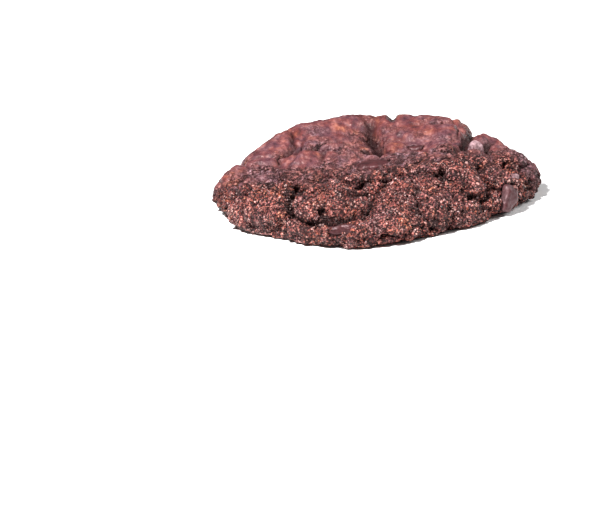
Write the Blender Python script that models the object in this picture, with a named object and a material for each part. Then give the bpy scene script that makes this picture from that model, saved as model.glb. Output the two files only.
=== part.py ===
"""One double chocolate chunk cookie, lying on its flat underside.

Sizes and places below are in millimetres, and the objects are made in metres, +Z up. +X is the
cookie's right side, and -Y is its near side, where the dough slopes down gently to the edge. All
pieces hang on one empty, which moves the middle of their box, seen from above, to the origin.

The dough is one closed mesh of rings, from the middle of the top, round the edge, to the middle
of the base. Boulders, ridges, cracks and lumps then move its points along its normals. Each
chocolate chip is a piece of its own, in a pocket that is cut out of the dough.
"""

import math

import bmesh
import bpy
import numpy as np
from mathutils import Matrix, Vector, noise
from mathutils.bvhtree import BVHTree

MM = 0.001

# the cookie's main sizes
MEAN_RADIUS = 40.3
THICKNESS = 12.0
WIDEST_LEVEL = 3.2
UNDERCUT = 2.6

# how square the shoulder between top and edge is: the far side is steep, the near one slopes
NEAR_SHOULDER = 2.5
FAR_SHOULDER = 6.5

# the mesh: distance between its points on the top, and on the flat base
SPACING = 1.32
BASE_SPACING = 4.5
# the rings of the base end this many spacings from its middle
BASE_RINGS_END = 2.2
PROFILE_STEPS = 4000

# lobes of the edge seen from above: azimuth and half width in degrees, and how far it is pushed
# out. Azimuth 0 is the right side and 90 the far side.
EDGE_LOBES = [
    (-4, 14, 1.0),
    (-22, 9, -1.0),
    (-42, 10, -3.2),
    (-62, 9, -2.6),
    (-76, 5, -1.3),
    (-101, 20, 2.2),
    (-127, 8, -0.8),
    (-163, 12, -0.8),
    (178, 14, 1.2),
    (146, 14, -1.8),
    (118, 14, 0.8),
    (84, 4, -1.2),
    (62, 12, 0.7),
    (42, 5, -1.0),
    (20, 10, -0.8),
]

# soft swells and hollows of the top: x, y, radius and height
SWELLS = [
    (-2, -2, 13, -2.7),
    (0, 20, 8, -2.8),
    (-10, 37, 14, 3.6),
    (-28, 27, 10, 2.8),
    (3, 36, 7, 1.2),
    (17, 31, 13, 2.3),
    (10, 12, 9, -0.6),
    (-22, 0, 12, -2.2),
    (-28, -20, 9, 0.4),
    (-6, -22, 8, 0.8),
    (10, -16, 9, 1.4),
    (21, -13, 8, 1.0),
    (26, 5, 6, -2.6),
    (36, 8, 9, -1.0),
    (33, 22, 7, -0.4),
]

# lumps of dough that stand out of the crust, each in its own crease: x, y and z of the middle,
# half the length along and across the edge, the height, and the depth of the crease round it
BOULDERS = [
    (-12.2, -32.3, 9.0, 10.0, 6.6, 3.0, 1.6),
    (21.8, -21.0, 10.8, 4.8, 8.0, 1.8, 1.8),
    (31.5, -18.0, 7.0, 5.0, 6.5, 1.0, 0.6),
    (5.5, -28.0, 9.5, 8.0, 7.0, 1.0, 0.3),
    (-27.0, -24.0, 8.0, 8.5, 7.0, 1.2, 1.0),
    (33.0, -5.0, 8.5, 6.0, 6.0, 1.2, 0.5),
]

# folds of the crust: the height of a ridge, or the depth of a crack as a minus, its half width to
# the left and to the right, and the points it runs through. It fades out over a share of its
# length at both ends
FOLDS = [
    (1.2, 2.0, 7.0, [
        (-38, -12, 7), (-34, -12, 8), (-29, -17, 10), (-23, -20, 10.5), (-19.5, -24, 11), (-13, -24, 12),
    ]),
    (1.2, 2.0, 7.0, [
        (-17, -24, 11.5), (-7, -25, 12), (-2.5, -23, 12.5), (4, -17.8, 13), (11, -18, 13),
        (16, -14.5, 13), (22, -14.5, 13),
    ]),
    (2.0, 1.0, 7.0, [
        (-23, -0.5, 10), (-17, 6.5, 11), (-9.4, 9.4, 12), (-6.3, 9, 12.5), (-4, 5.4, 12), (-2.8, 1.8, 11),
    ]),
    (1.4, 6.0, 1.1, [
        (3.2, 32, 14), (3.2, 19.5, 13), (2.9, 16, 11.5), (2.8, 11, 10.5), (3.8, 6.5, 10), (7, 3, 10),
    ]),
    (1.6, 1.1, 6.0, [
        (22.6, 27, 11), (22.1, 19, 11.5), (21.9, 10, 11.5), (21, 1.6, 11.3), (19, -6, 11.5),
    ]),
    (0.9, 1.4, 1.4, [(5, -19.3, 12.5), (11, -20, 12.5), (14.8, -18.5, 13), (19.5, -18.5, 13)]),
    (-2.6, 1.2, 1.2, [
        (-21, 7, 10.5), (-16.5, 10.5, 11), (-12.5, 13.5, 11), (-7.5, 15.5, 11), (-3.5, 13, 10),
        (-0.8, 7.5, 9.6),
    ]),
    (-1.8, 1.7, 2.6, [
        (0.2, 34, 14), (0.3, 26, 12), (0.8, 21, 10), (1, 15, 9), (1.3, 10, 9), (1, 5, 9),
    ]),
    (-1.8, 1.1, 1.1, [(7, 48, 5), (6.8, 42, 9), (6.4, 35, 12), (6, 24, 13)]),
    (-2.6, 1.4, 1.4, [(27.6, 26, 9), (26.7, 21, 10), (25, 14, 10.5), (23.2, 5, 10), (22.5, -2, 10)]),
    (-2.0, 1.0, 1.0, [(31, 15, 9), (29.6, 10, 9.5), (28.3, 3.8, 9.3), (27.8, -3, 10), (27.9, -12, 10)]),
    (-2.6, 1.0, 1.0, [
        (24.5, -10, 12), (26.2, -19.5, 11), (26.1, -24, 7.5), (25.7, -28.2, 4.8), (25, -33, 0),
    ]),
    (-1.5, 1.3, 1.3, [(9.5, -39, 5), (8.7, -35.5, 7), (9, -31, 9), (8, -25, 11)]),
    (-1.3, 1.0, 1.0, [(17.3, -39, 0), (17.2, -33.5, 4), (17, -31, 7), (17.8, -25, 10)]),
    (-2.6, 1.3, 1.3, [(-19.5, -21, 11), (-22, -26, 9), (-22.5, -29.5, 7), (-21, -32, 6)]),
    (-1.8, 0.9, 0.9, [
        (-20.8, 26, 13), (-20.9, 19, 12.6), (-20.4, 15, 12), (-21.4, 11.5, 11), (-24, 8, 10),
    ]),
    (-1.7, 0.9, 0.9, [
        (-33, 4, 9.5), (-26.5, -2.3, 10), (-23, -9.8, 10.6), (-19.4, -15, 10.8), (-12, -16.7, 11.7),
        (-5, -17, 12),
    ]),
    (-1.6, 0.8, 0.8, [
        (-10, -27.5, 11.3), (-4, -26.7, 11.6), (1, -26.3, 11.3), (5, -25, 11.2), (10, -26.3, 10.8),
    ]),
    (-1.5, 0.8, 0.8, [
        (1, -15.5, 12), (7, -15.2, 12.4), (12, -13.5, 12.5), (16, -11, 12.5), (20, -9.5, 12.8),
    ]),
    (-1.7, 0.8, 0.8, [
        (4, -22.7, 12), (8, -22.5, 11.5), (11.5, -21.8, 11.6), (14.5, -22, 11.5), (18, -24.5, 10),
    ]),
    (-1.4, 0.8, 0.8, [(12, 1.5, 10.5), (16, -2.5, 11), (23, -4.5, 11)]),
]
FOLD_FADE = 0.15
# how much a difference in height counts in the distance from a fold
FOLD_HEIGHT_SHARE = 0.3
# no crack is narrower than this, so that the points of the mesh still follow it
LEAST_CRACK_WIDTH = 1.25

# the crust's plates and the cracks between them
PLATE_SIZE = 15.0
PLATE_DOME = 0.8
PLATE_DOME_REACH = 4.0
PLATE_CRACK_DEPTH = 1.8
PLATE_CRACK_WIDTH = 1.25
# how open the cracks are, from 0 to 1: the mean, how much it varies, and over what distance
CRACK_OPENNESS = 0.45
OPENNESS_SPREAD = 1.4
OPENNESS_PATCH = 12.0
# fewer cracks are open on the far rim's top: how many fewer, beyond which y, and above which z
CALM_TOP = 0.6
CALM_FROM = 14.0
CALM_REACH = 12.0
CALM_LEVEL = 6.0
CALM_RISE = 3.0

# rounded lumps all over: their size and height
LUMPS = [
    (7.5, 1.7),
    (3.6, 1.4),
]
# the level in the lumps' noise that the crust keeps: what is below it sinks in
LUMP_MIDDLE = 0.2
# full height nearer than the one y, and this share of it beyond the other
LUMPS_FULL = -14.0
LUMPS_END = 14.0
FAR_LUMP_SHARE = 0.3

# the relief acts upwards from this level above the flat base, and in full this much higher
FREE_LEVEL = 0.1
FREE_RISE = 1.5

# chocolate chips: x, y and z near the surface, half the length, width and thickness, how far it
# is turned in degrees, and how far its middle lies below the crust as a share of the thickness
CHIPS = [
    (-2.2, -3.6, 10, 4.2, 4.6, 2.0, 90, 0.0),
    (26.6, 7.0, 9.7, 2.1, 1.7, 2.3, 20, 0.25),
    (32.7, -21.9, 4.2, 3.7, 2.1, 1.4, 0, 0.5),
    (10.7, 6.5, 11, 2.3, 1.9, 1.6, 40, 0.70),
    (1.2, -26.2, 11, 2.6, 1.6, 1.6, 5, 0.85),
    (-7.4, -19.8, 12, 2.3, 1.8, 1.6, 80, 0.85),
    (-9.8, -40.3, 4.8, 4.4, 1.3, 1.4, 0, 0.85),
    (34.9, -13.4, 7.2, 1.9, 1.4, 1.4, 20, 0.80),
    (21.0, 35.0, 7, 4.0, 2.6, 1.9, 0, 0.65),
    (-9.0, 41.0, 6, 4.2, 2.8, 1.9, 0, 0.65),
    (-34.0, 22.0, 7, 3.6, 2.6, 1.9, 10, 0.65),
]
CHIP_GAP = 0.35
CHIP_SEGMENTS = 12
CHIP_RINGS = 8
CHIP_SQUARENESS = 0.65
CHIP_UNEVENNESS = 0.3

DOUGH_COLOUR = (0.105, 0.038, 0.030, 1.0)
CHIP_COLOUR = (0.060, 0.022, 0.018, 1.0)


def clear_scene():
    for obj in list(bpy.data.objects):
        bpy.data.objects.remove(obj)


def material(name, colour, roughness):
    made = bpy.data.materials.new(name)
    made.use_nodes = True
    shader = made.node_tree.nodes["Principled BSDF"]
    shader.inputs["Base Color"].default_value = colour
    shader.inputs["Roughness"].default_value = roughness
    shader.inputs["Metallic"].default_value = 0.0
    return made


def add_object(name, mesh, parent=None):
    obj = bpy.data.objects.new(name, mesh)
    obj.parent = parent
    bpy.context.scene.collection.objects.link(obj)
    return obj


# The plain body: rings whose radius follows the lobed edge


def edge_radius(azimuth):
    """Distance from the middle to the widest line, for azimuths in degrees."""
    radius = np.full_like(azimuth, MEAN_RADIUS)
    for middle, half_width, push in EDGE_LOBES:
        away = (azimuth - middle + 180.0) % 360.0 - 180.0
        radius += push * np.exp(-((away / half_width) ** 2))
    return radius


def top_height(x, y, share, azimuth):
    """Height of the top over points whose distance from the middle is this share of the edge's."""
    nearness = 0.5 - 0.5 * np.sin(np.radians(azimuth))
    shoulder = FAR_SHOULDER + (NEAR_SHOULDER - FAR_SHOULDER) * nearness
    height = np.full_like(x, THICKNESS)
    for middle_x, middle_y, radius, rise in SWELLS:
        height += rise * np.exp(-((x - middle_x) ** 2 + (y - middle_y) ** 2) / radius**2)
    fullness = np.sqrt(np.maximum(0.0, 1.0 - share**shoulder))
    return WIDEST_LEVEL + (height - WIDEST_LEVEL) * fullness


def ring_shares():
    """Shares of the radius for rings that lie an even distance apart along a mean profile."""
    fine = 1.0 - (1.0 - np.linspace(0.0, 1.0, PROFILE_STEPS)) ** 2
    height = (THICKNESS - WIDEST_LEVEL) * np.sqrt(1.0 - fine**4)
    steps = np.hypot(np.diff(fine * MEAN_RADIUS), np.diff(height))
    along = np.concatenate([[0.0], np.cumsum(steps)])
    count = round(along[-1] / SPACING)
    return np.interp(np.linspace(0.0, along[-1], count + 1), along, fine)


def ring_points(share, count, level=None, inset=0.0):
    """One ring: on the top where no level is given, and otherwise flat at that level."""
    azimuth = np.arange(count) * 360.0 / count
    distance = edge_radius(azimuth) * share - inset
    x = distance * np.cos(np.radians(azimuth))
    y = distance * np.sin(np.radians(azimuth))
    if level is None:
        return np.stack([x, y, top_height(x, y, share, azimuth)], axis=1)
    return np.stack([x, y, np.full_like(x, level)], axis=1)


def body_rings():
    """All rings from the middle of the top to the middle of the base."""
    most = round(2.0 * math.pi * MEAN_RADIUS / SPACING)
    rings = [ring_points(0.0, 1)]
    for number, share in enumerate(ring_shares()[1:], 1):
        rings.append(ring_points(share, min(6 * number, most)))
    side_steps = max(2, round(WIDEST_LEVEL / SPACING))
    for step in range(1, side_steps + 1):
        turn = step / side_steps * math.pi / 2.0
        level = WIDEST_LEVEL * (1.0 - math.sin(turn))
        rings.append(ring_points(1.0, most, level, UNDERCUT * (1.0 - math.cos(turn))))
    share = 1.0
    count = most
    while share > BASE_RINGS_END * BASE_SPACING / MEAN_RADIUS:
        share -= BASE_SPACING / MEAN_RADIUS
        even_count = round(2.0 * math.pi * share * MEAN_RADIUS / BASE_SPACING)
        count = max(6, even_count, count // 2)
        rings.append(ring_points(share, count, 0.0, UNDERCUT * share))
    rings.append(np.zeros((1, 3)))
    return rings


def stitched(inner, outer):
    """Triangles between two closed rings of point numbers, whose counts may differ."""
    faces = []
    i = 0
    j = 0
    while i < len(inner) or j < len(outer):
        take_outer = i >= len(inner) or (j + 0.5) / len(outer) <= (i + 0.5) / len(inner)
        a = inner[i % len(inner)]
        b = outer[j % len(outer)]
        if j < len(outer) and take_outer:
            j += 1
            faces.append((a, b, outer[j % len(outer)]))
        else:
            i += 1
            faces.append((a, b, inner[i % len(inner)]))
    return [face for face in faces if len(set(face)) == 3]


def plain_body():
    """Points and triangles of the cookie before its crust has any relief."""
    rings = body_rings()
    starts = np.cumsum([0] + [len(ring) for ring in rings])
    numbers = [list(range(a, b)) for a, b in zip(starts[:-1], starts[1:])]
    faces = []
    for inner, outer in zip(numbers[:-1], numbers[1:]):
        faces.extend(stitched(inner, outer))
    return np.concatenate(rings), np.array(faces)


# The crust's relief: every function below gives, for each point, how far it moves out


def noise_at(points, wavelength, shift):
    return np.array([noise.noise(Vector(point)) for point in points / wavelength + shift])


def wandered(points, wavelength, reach, shift):
    """The points moved about by soft noise, so that what is drawn through them wavers."""
    moved = points.copy()
    for axis in range(3):
        moved[:, axis] += reach * noise_at(points, wavelength, shift + 7.7 * axis)
    return moved


def plate_relief(points):
    """Domed plates with cracks between them, which are open in some places and shut in others."""
    moved = wandered(wandered(points, 9.0, 2.4, 5.1), 3.6, 0.9, 17.3) / PLATE_SIZE
    nearest = np.array([noise.voronoi(Vector(point))[0][:2] for point in moved])
    gap = (nearest[:, 1] - nearest[:, 0]) * PLATE_SIZE
    far = np.clip((points[:, 1] - CALM_FROM) / CALM_REACH, 0.0, 1.0)
    high = np.clip((points[:, 2] - CALM_LEVEL) / CALM_RISE, 0.0, 1.0)
    openness = CRACK_OPENNESS + OPENNESS_SPREAD * noise_at(points, OPENNESS_PATCH, 40.0)
    openness = np.clip(openness - CALM_TOP * far * high, 0.0, 1.0)
    crack = np.exp(-((gap / PLATE_CRACK_WIDTH) ** 1.4)) * openness
    return PLATE_DOME * (1.0 - np.exp(-gap / PLATE_DOME_REACH)) - PLATE_CRACK_DEPTH * crack


def boulder_relief(points):
    moved = wandered(points, 5.0, 1.3, 31.0)
    relief = np.zeros(len(points))
    for x, y, z, along, across, height, crease in BOULDERS:
        azimuth = math.atan2(y, x)
        offset = moved - (x, y, z)
        sideways = offset[:, 1] * math.cos(azimuth) - offset[:, 0] * math.sin(azimuth)
        rest = (offset**2).sum(axis=1) - sideways**2
        away = np.sqrt((sideways / along) ** 2 + np.maximum(rest, 0.0) / across**2)
        relief += height * np.maximum(0.0, 1.0 - away**2) ** 0.6
        relief -= crease * np.exp(-(((away - 1.0) * across / LEAST_CRACK_WIDTH) ** 2))
    return relief


def distance_to_path(points, path):
    """Distance to a path, which points lie left of it, and 1 along it but 0 at its two ends."""
    nearest = np.full(len(points), np.inf)
    left = np.zeros(len(points), bool)
    along = np.zeros(len(points))
    ends = np.array(path, float)
    for number, (start, end) in enumerate(zip(ends[:-1], ends[1:])):
        run = end - start
        share = np.clip((points - start) @ run / (run @ run), 0.0, 1.0)
        away = points - start - share[:, None] * run
        distance = np.hypot(np.hypot(away[:, 0], away[:, 1]), FOLD_HEIGHT_SHARE * away[:, 2])
        closer = distance < nearest
        nearest[closer] = distance[closer]
        left[closer] = (run[0] * away[:, 1] - run[1] * away[:, 0])[closer] > 0.0
        along[closer] = (number + share[closer]) / (len(ends) - 1)
    return nearest, left, np.clip(np.minimum(along, 1.0 - along) / FOLD_FADE, 0.0, 1.0)


def fold_relief(points):
    moved = wandered(points, 4.0, 1.1, 11.0)
    ridges = np.zeros(len(points))
    cracks = np.zeros(len(points))
    for rise, left_width, right_width, path in FOLDS:
        distance, left, fade = distance_to_path(moved, path)
        width = np.maximum(np.where(left, left_width, right_width), LEAST_CRACK_WIDTH)
        fold = rise * fade * np.exp(-((distance / width) ** 2))
        ridges = np.maximum(ridges, fold)
        cracks = np.minimum(cracks, fold)
    return ridges + cracks


def lump_relief(points):
    """Lumps that are high on the near side and low on the far one."""
    nearness = np.clip((LUMPS_END - points[:, 1]) / (LUMPS_END - LUMPS_FULL), FAR_LUMP_SHARE, 1.0)
    relief = np.zeros(len(points))
    for number, (size, height) in enumerate(LUMPS):
        relief += height * (np.abs(noise_at(points, size, 3.0 + 6.0 * number)) - LUMP_MIDDLE)
    return relief * nearness


def normals_of(points, faces):
    corners = points[faces]
    cross = np.cross(corners[:, 1] - corners[:, 0], corners[:, 2] - corners[:, 0])
    normals = np.zeros_like(points)
    for corner in range(3):
        np.add.at(normals, faces[:, corner], cross)
    return normals / np.linalg.norm(normals, axis=1, keepdims=True)


def moved_out(points, faces, relief):
    """The points moved along their normals, and those near the flat base only sideways."""
    above = np.clip((points[:, 2] - FREE_LEVEL) / FREE_RISE, 0.0, 1.0)
    moves = normals_of(points, faces) * relief[:, None]
    moves[:, 2] *= above
    return points + moves


def crusted(points, faces):
    """The points with all of the crust's relief."""
    large = plate_relief(points) + boulder_relief(points) + fold_relief(points)
    points = moved_out(points, faces, large)
    return moved_out(points, faces, lump_relief(points))


def dough_mesh(points, faces):
    mesh = bpy.data.meshes.new("dough")
    mesh.from_pydata((points * MM).tolist(), [], faces.tolist())
    mesh.shade_smooth()
    return mesh


def surface_of(points, faces):
    return BVHTree.FromPolygons((points * MM).tolist(), faces.tolist())


# Chocolate chips: rounded, slightly uneven chunks


def chip_mesh(name, size, grown, shift):
    """A chunk round the origin with these half sizes, all of it this much bigger where grown."""
    shape = bmesh.new()
    bmesh.ops.create_uvsphere(shape, u_segments=CHIP_SEGMENTS, v_segments=CHIP_RINGS, radius=1.0)
    for vert in shape.verts:
        uneven = 1.0 + CHIP_UNEVENNESS * noise.noise(vert.co * 1.2 + Vector((shift, 0.0, 0.0)))
        squared = [math.copysign(abs(value) ** CHIP_SQUARENESS, value) for value in vert.co]
        vert.co = [value * uneven * (half + grown) * MM for value, half in zip(squared, size)]
    bmesh.ops.triangulate(shape, faces=shape.faces)
    mesh = bpy.data.meshes.new(name)
    shape.to_mesh(mesh)
    shape.free()
    mesh.shade_smooth()
    return mesh


def chip_place(crust, plain, x, y, z, thickness, turn, sunk):
    """Where a chip lies: flat in the crust nearest to that point, and turned from along the edge."""
    foot, _, _, _ = crust.find_nearest(Vector((x, y, z)) * MM)
    _, normal, _, _ = plain.find_nearest(foot)
    middle = foot - normal * sunk * thickness * MM
    across = Vector((x, y, 0.0)).normalized()
    along = across.cross(normal).normalized()
    across = normal.cross(along)
    place = Matrix((along, across, normal)).transposed().to_4x4()
    place.translation = middle
    return place @ Matrix.Rotation(math.radians(turn), 4, "Z")


def cut_pocket(dough, cutter):
    cutter.hide_render = True
    cutter.display_type = "WIRE"
    pocket = dough.modifiers.new(cutter.name, "BOOLEAN")
    pocket.operation = "DIFFERENCE"
    pocket.solver = "EXACT"
    pocket.object = cutter


def centre(cookie, pieces):
    """Moves the empty so that the middle of the pieces' box, seen from above, is at the origin."""
    places = np.array([piece.matrix_basis @ vert.co for piece in pieces for vert in piece.data.vertices])
    middle = (places.min(axis=0) + places.max(axis=0)) / 2.0
    cookie.location = (-middle[0], -middle[1], 0.0)


def build():
    clear_scene()
    cookie = add_object("cookie", None)
    plain_points, faces = plain_body()
    points = crusted(plain_points, faces)
    dough = add_object("dough", dough_mesh(points, faces), cookie)
    dough.data.materials.append(material("baked dough", DOUGH_COLOUR, 0.75))
    crust = surface_of(points, faces)
    plain = surface_of(plain_points, faces)
    chocolate = material("chocolate", CHIP_COLOUR, 0.35)
    pieces = [dough]
    for number, (x, y, z, length, width, thickness, turn, sunk) in enumerate(CHIPS, 1):
        size = (length, width, thickness)
        place = chip_place(crust, plain, x, y, z, thickness, turn, sunk)
        chip = add_object(f"chip_{number}", chip_mesh(f"chip_{number}", size, 0.0, 3.0 * number), cookie)
        chip.matrix_basis = place
        chip.data.materials.append(chocolate)
        pieces.append(chip)
        pocket = chip_mesh(f"pocket_{number}", size, CHIP_GAP, 3.0 * number)
        cutter = add_object(f"pocket_{number}", pocket, cookie)
        cutter.matrix_basis = place
        cut_pocket(dough, cutter)
    centre(cookie, pieces)


build()
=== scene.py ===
"""One double chocolate chunk cookie on a pale studio floor, finished over its CAD solids."""

import math

import bmesh
import bpy
import numpy as np
from mathutils import Matrix, Vector, noise
from mathutils.bvhtree import BVHTree


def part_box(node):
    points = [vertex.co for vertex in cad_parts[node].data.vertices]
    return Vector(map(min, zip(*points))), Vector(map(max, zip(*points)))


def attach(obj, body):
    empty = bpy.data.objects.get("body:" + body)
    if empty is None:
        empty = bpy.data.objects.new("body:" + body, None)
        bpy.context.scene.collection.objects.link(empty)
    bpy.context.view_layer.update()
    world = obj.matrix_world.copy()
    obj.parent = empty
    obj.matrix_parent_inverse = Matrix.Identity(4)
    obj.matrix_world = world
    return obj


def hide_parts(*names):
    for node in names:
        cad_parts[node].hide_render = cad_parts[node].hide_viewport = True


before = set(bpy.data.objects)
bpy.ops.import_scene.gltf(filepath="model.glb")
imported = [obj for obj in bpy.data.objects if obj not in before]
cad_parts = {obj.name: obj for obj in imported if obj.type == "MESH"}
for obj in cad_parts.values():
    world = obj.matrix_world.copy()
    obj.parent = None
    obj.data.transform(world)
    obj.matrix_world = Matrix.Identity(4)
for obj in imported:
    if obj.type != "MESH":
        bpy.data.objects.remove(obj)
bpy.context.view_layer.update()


# The dough: a round of chocolate dough that spread and cracked as it baked, with a high far rim,
# a sunken middle and a near side that slopes to the edge. It is one closed mesh of rings, whose
# points are moved out by plates, boulders, folds, lumps and crumb. Sizes are in millimetres.

MM = 0.001
MEAN_RADIUS = 40.3
THICKNESS = 12.0
# the level at which the edge is widest, and how much narrower the base is
WIDEST_LEVEL = 3.2
UNDERCUT = 2.6
# how square the top's shoulder is: on the near side, on the far side and on average
NEAR_SHOULDER = 2.5
FAR_SHOULDER = 6.5
MEAN_SHOULDER = 4
# how far apart the points lie on the crust and on the base
SPACING = 0.30
BASE_SPACING = 2.5
PROFILE_STEPS = 4000
# round the middle, each ring has this many points more than the one inside it, and none has fewer
RING_GROWTH = 6
# the length of the rounded side below the widest level, in widest levels
SIDE_LENGTH = 1.3
# the rings of the base end this many spacings from its middle
BASE_RINGS_END = 2.2

# lobes of the edge: azimuth and half width in degrees, and how far it is pushed out. Azimuth 0
# is the right side and 90 the far side
EDGE_LOBES = [
    (-4, 14, 1.0),
    (-22, 9, -1.0),
    (-42, 10, -3.2),
    (-62, 9, -2.6),
    (-76, 5, -1.3),
    (-101, 20, 2.2),
    (-127, 8, -0.8),
    (-163, 12, -0.8),
    (178, 14, 1.2),
    (146, 14, -1.8),
    (118, 14, 0.8),
    (84, 4, -1.2),
    (62, 12, 0.7),
    (42, 5, -1.0),
    (20, 10, -0.8),
]

# soft swells and hollows of the top: x, y, radius and height
SWELLS = [
    (-2, -2, 13, -2.7),
    (0, 20, 8, -2.8),
    (-10, 37, 14, 3.6),
    (-28, 27, 10, 2.8),
    (3, 36, 7, 1.2),
    (17, 31, 13, 2.3),
    (10, 12, 9, -0.6),
    (-22, 0, 12, -2.2),
    (-28, -20, 9, 0.4),
    (-6, -22, 8, 0.8),
    (10, -16, 9, 1.4),
    (21, -13, 8, 1.0),
    (26, 5, 6, -2.6),
    (36, 8, 9, -1.0),
    (33, 22, 7, -0.4),
]


def edge_radius(azimuth):
    """How far out the edge lies at each azimuth."""
    radius = np.full_like(azimuth, MEAN_RADIUS)
    for middle, half_width, push in EDGE_LOBES:
        away = (azimuth - middle + 180.0) % 360.0 - 180.0
        radius += push * np.exp(-((away / half_width) ** 2))
    return radius


def top_height(x, y, share, azimuth):
    """The height of the top without relief, at points that lie at this share of the radius."""
    nearness = 0.5 - 0.5 * np.sin(np.radians(azimuth))
    shoulder = FAR_SHOULDER + (NEAR_SHOULDER - FAR_SHOULDER) * nearness
    height = np.full_like(x, THICKNESS)
    for middle_x, middle_y, radius, rise in SWELLS:
        height += rise * np.exp(-((x - middle_x) ** 2 + (y - middle_y) ** 2) / radius**2)
    fullness = np.sqrt(np.maximum(0.0, 1.0 - share**shoulder))
    return WIDEST_LEVEL + (height - WIDEST_LEVEL) * fullness


def ring_shares():
    """Shares of the radius for rings that lie an even distance apart along a mean profile."""
    fine = 1.0 - (1.0 - np.linspace(0.0, 1.0, PROFILE_STEPS)) ** 2
    height = (THICKNESS - WIDEST_LEVEL) * np.sqrt(1.0 - fine**MEAN_SHOULDER)
    steps = np.hypot(np.diff(fine * MEAN_RADIUS), np.diff(height))
    along = np.concatenate([[0.0], np.cumsum(steps)])
    count = round(along[-1] / SPACING)
    return np.interp(np.linspace(0.0, along[-1], count + 1), along, fine)


def ring_points(share, count, level=None, inset=0.0):
    """A ring of points at a share of the edge's radius, on the top or else on its own level."""
    azimuth = np.arange(count) * 360.0 / count
    distance = edge_radius(azimuth) * share - inset
    x = distance * np.cos(np.radians(azimuth))
    y = distance * np.sin(np.radians(azimuth))
    if level is None:
        return np.stack([x, y, top_height(x, y, share, azimuth)], axis=1)
    return np.stack([x, y, np.full_like(x, level)], axis=1)


def body_rings():
    """All rings from the middle of the top, round the edge, to the middle of the base."""
    most = round(2.0 * math.pi * MEAN_RADIUS / SPACING)
    rings = [ring_points(0.0, 1)]
    for number, share in enumerate(ring_shares()[1:], 1):
        rings.append(ring_points(share, min(RING_GROWTH * number, most)))
    side_steps = round(WIDEST_LEVEL * SIDE_LENGTH / SPACING)
    for step in range(1, side_steps + 1):
        turn = step / side_steps * math.pi / 2.0
        level = WIDEST_LEVEL * (1.0 - math.sin(turn))
        rings.append(ring_points(1.0, most, level, UNDERCUT * (1.0 - math.cos(turn))))
    share = 1.0
    count = most
    while share > BASE_RINGS_END * BASE_SPACING / MEAN_RADIUS:
        share -= BASE_SPACING / MEAN_RADIUS
        even_count = round(2.0 * math.pi * share * MEAN_RADIUS / BASE_SPACING)
        count = max(RING_GROWTH, even_count, count // 2)
        rings.append(ring_points(share, count, 0.0, UNDERCUT * share))
    rings.append(np.zeros((1, 3)))
    return rings


def stitched(inner, outer):
    """Triangles between two closed rings of point numbers, whose counts may differ."""
    faces = []
    i = 0
    j = 0
    while i < len(inner) or j < len(outer):
        take_outer = i >= len(inner) or (j + 0.5) / len(outer) <= (i + 0.5) / len(inner)
        a = inner[i % len(inner)]
        b = outer[j % len(outer)]
        if j < len(outer) and take_outer:
            j += 1
            faces.append((a, b, outer[j % len(outer)]))
        else:
            i += 1
            faces.append((a, b, inner[i % len(inner)]))
    return [face for face in faces if len(set(face)) == 3]


def plain_body():
    """The dough without relief: its points, and its triangles as numbers of points."""
    rings = body_rings()
    starts = np.cumsum([0] + [len(ring) for ring in rings])
    numbers = [list(range(a, b)) for a, b in zip(starts[:-1], starts[1:])]
    faces = []
    for inner, outer in zip(numbers[:-1], numbers[1:]):
        faces.extend(stitched(inner, outer))
    return np.concatenate(rings), np.array(faces)


# the noise that moves points along one axis is shifted this much more than that of the axis before
AXIS_SHIFT = 7.7


def noise_at(points, wavelength, shift):
    """Soft noise at each point, from about -1 to 1. Each use has its own shift, so that they differ."""
    return np.array([noise.noise(Vector(point)) for point in points / wavelength + shift])


def wandered(points, wavelength, reach, shift):
    """The points moved about by soft noise, so that what is drawn through them wavers."""
    moved = points.copy()
    for axis in range(3):
        moved[:, axis] += reach * noise_at(points, wavelength, shift + AXIS_SHIFT * axis)
    return moved


# the crust's plates and the cracks between them, which are open in some places and shut in others
PLATE_SIZE = 15.0
PLATE_DOME = 0.8
PLATE_DOME_REACH = 4.0
PLATE_CRACK_DEPTH = 2.0
PLATE_CRACK_WIDTH = 0.85
PLATE_CRACK_STEEPNESS = 1.4
# how the plates' outlines waver, in long and in short waves. Here and below, such a row holds the
# length of the waves, how far they move a point, and the shift of their noise
PLATE_LONG_WAVER = (9.0, 2.4, 5.1)
PLATE_SHORT_WAVER = (3.6, 0.9, 17.3)
# how open the cracks are, from 0 to 1: the mean, how much it varies, and over what distance
CRACK_OPENNESS = 0.45
OPENNESS_SPREAD = 1.4
OPENNESS_PATCH = 12.0
# fewer cracks are open on the far rim's top: how many fewer, beyond which y, and above which z
CALM_TOP = 0.6
CALM_FROM = 14.0
CALM_REACH = 12.0
CALM_LEVEL = 6.0
CALM_RISE = 3.0


def plate_relief(points):
    """How far the plates move each point out, and how deep in a crack it lies, 0 to 1."""
    moved = wandered(wandered(points, *PLATE_LONG_WAVER), *PLATE_SHORT_WAVER) / PLATE_SIZE
    nearest = np.array([noise.voronoi(Vector(point))[0][:2] for point in moved])
    gap = (nearest[:, 1] - nearest[:, 0]) * PLATE_SIZE
    far = np.clip((points[:, 1] - CALM_FROM) / CALM_REACH, 0.0, 1.0)
    high = np.clip((points[:, 2] - CALM_LEVEL) / CALM_RISE, 0.0, 1.0)
    openness = CRACK_OPENNESS + OPENNESS_SPREAD * noise_at(points, OPENNESS_PATCH, 40.0)
    openness = np.clip(openness - CALM_TOP * far * high, 0.0, 1.0)
    crack = np.exp(-((gap / PLATE_CRACK_WIDTH) ** PLATE_CRACK_STEEPNESS)) * openness
    dome = PLATE_DOME * (1.0 - np.exp(-gap / PLATE_DOME_REACH))
    return dome - PLATE_CRACK_DEPTH * crack, crack


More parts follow.
